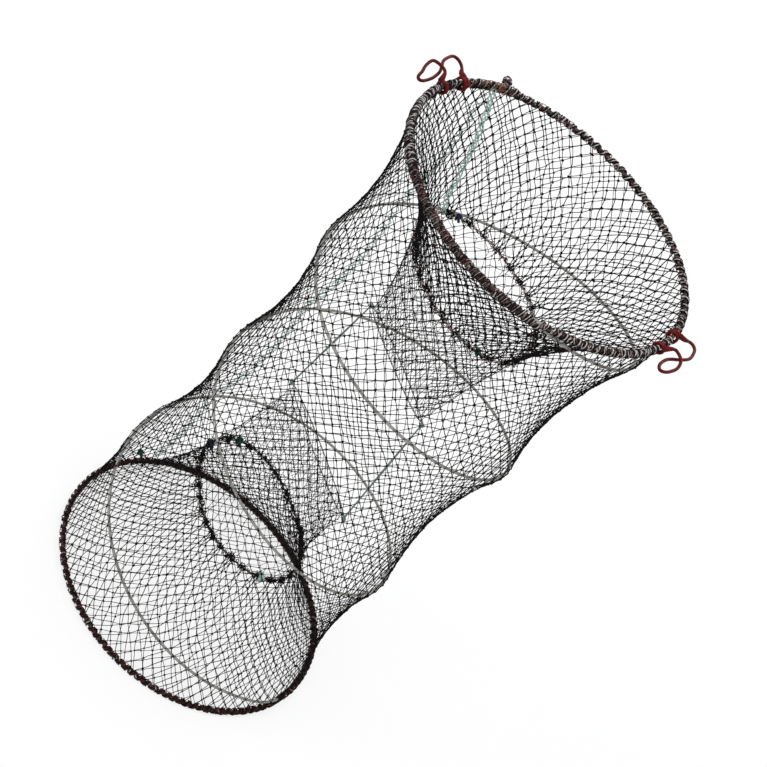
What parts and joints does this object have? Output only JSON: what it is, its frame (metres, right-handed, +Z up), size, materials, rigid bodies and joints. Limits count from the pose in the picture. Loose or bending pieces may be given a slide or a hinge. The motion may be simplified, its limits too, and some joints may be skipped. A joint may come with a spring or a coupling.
{
  "type": "collapsible crayfish trap",
  "caption": "Upright tube of knotted netting held open by a coil spring between two bound rings, with a netting funnel and flat throat at each end and folding wire clips.",
  "frame": {"origin": "on the trap's axis, in the plane that its bottom ring stands on", "axes": "+Z up the trap's axis from the bottom ring to the top ring, +X towards the right-hand clip, +Y across"},
  "size_m": [0.3386, 0.2988, 0.6046],
  "materials": {
    "steel_wire": "drawn spring steel, dull grey",
    "ring_steel": "drawn spring steel, dull grey",
    "whipping_twine": "twisted maroon-brown and grey twine, wound close",
    "net_thread": "dark brown-black twisted thread, knotted",
    "throat_cord": "dark maroon cord with gathered netting",
    "clip_coating": "glossy brick-red coating on bent wire",
    "orange_twine": "orange-red twine",
    "pale_green_thread": "pale green thread",
    "dark_green_cord": "dark green cord",
    "blue_cord": "navy blue cord"
  },
  "bodies": {
    "bottom_end": {"bottom_ring_whipping": "whipping_twine", "bottom_ring_wire": "ring_steel", "bottom_seam_knot": "dark_green_cord", "spring_coil": "steel_wire", "body_net": "net_thread", "body_seam_lacing": "pale_green_thread", "top_funnel_net": "net_thread", "bottom_funnel_net": "net_thread", "top_funnel_seam_lacing": "pale_green_thread", "top_throat_sock": "net_thread", "bottom_throat_sock": "net_thread", "upper_left_guy_knot": "dark_green_cord", "lower_left_guy_knot": "dark_green_cord", "left_guy_cord": "dark_green_cord", "upper_right_guy_knot": "dark_green_cord", "lower_right_guy_knot": "dark_green_cord", "right_guy_cord": "dark_green_cord"},
    "top_end": {"top_ring_whipping": "whipping_twine", "top_ring_wire": "ring_steel", "top_ring_lashing": "orange_twine", "top_whipping_knot": "whipping_twine"},
    "top_throat": {"top_throat_rim": "throat_cord", "top_rim_blue_knot": "blue_cord", "top_rim_green_knot": "dark_green_cord"},
    "bottom_throat": {"bottom_throat_rim": "throat_cord", "bottom_rim_blue_knot": "blue_cord", "bottom_rim_green_knot": "dark_green_cord", "bottom_rim_teal_knot": "pale_green_thread"},
    "right_clip": {"right_clip": "clip_coating"},
    "left_clip": {"left_clip": "clip_coating"}
  },
  "joints": [
    {"name": "collapse", "type": "slide", "parent": "bottom_end", "child": "top_end", "axis": [0, 0, 1], "range_m": [-0.56, 0], "stiffness_N_per_m": 14, "springref_m": 0.16, "deforming": ["spring_coil", "body_net", "body_seam_lacing", "top_funnel_net", "bottom_funnel_net", "top_funnel_seam_lacing", "top_throat_sock", "bottom_throat_sock", "upper_left_guy_knot", "lower_left_guy_knot", "left_guy_cord", "upper_right_guy_knot", "lower_right_guy_knot", "right_guy_cord"]},
    {"name": "top_throat_drop", "type": "slide", "parent": "bottom_end", "child": "top_throat", "axis": [0, 0, 1], "range_m": [-0.4592, 0]},
    {"name": "bottom_throat_drop", "type": "slide", "parent": "bottom_end", "child": "bottom_throat", "axis": [0, 0, 1], "range_m": [-0.1082, 0]},
    {"name": "right_clip_fold", "type": "hinge", "parent": "top_end", "child": "right_clip", "pos_m": [0.14367, 0.01194, 0.5956], "axis": [-0.0828, 0.9966, 0], "range_deg": [-120, 90]},
    {"name": "left_clip_fold", "type": "hinge", "parent": "top_end", "child": "left_clip", "pos_m": [-0.14367, 0.01194, 0.5956], "axis": [-0.0828, -0.9966, 0], "range_deg": [-120, 90]}
  ],
  "couplings": [
    {"joint": "top_throat_drop", "follows": "collapse", "ratio": 0.81895},
    {"joint": "bottom_throat_drop", "follows": "collapse", "ratio": 0.19222}
  ]
}
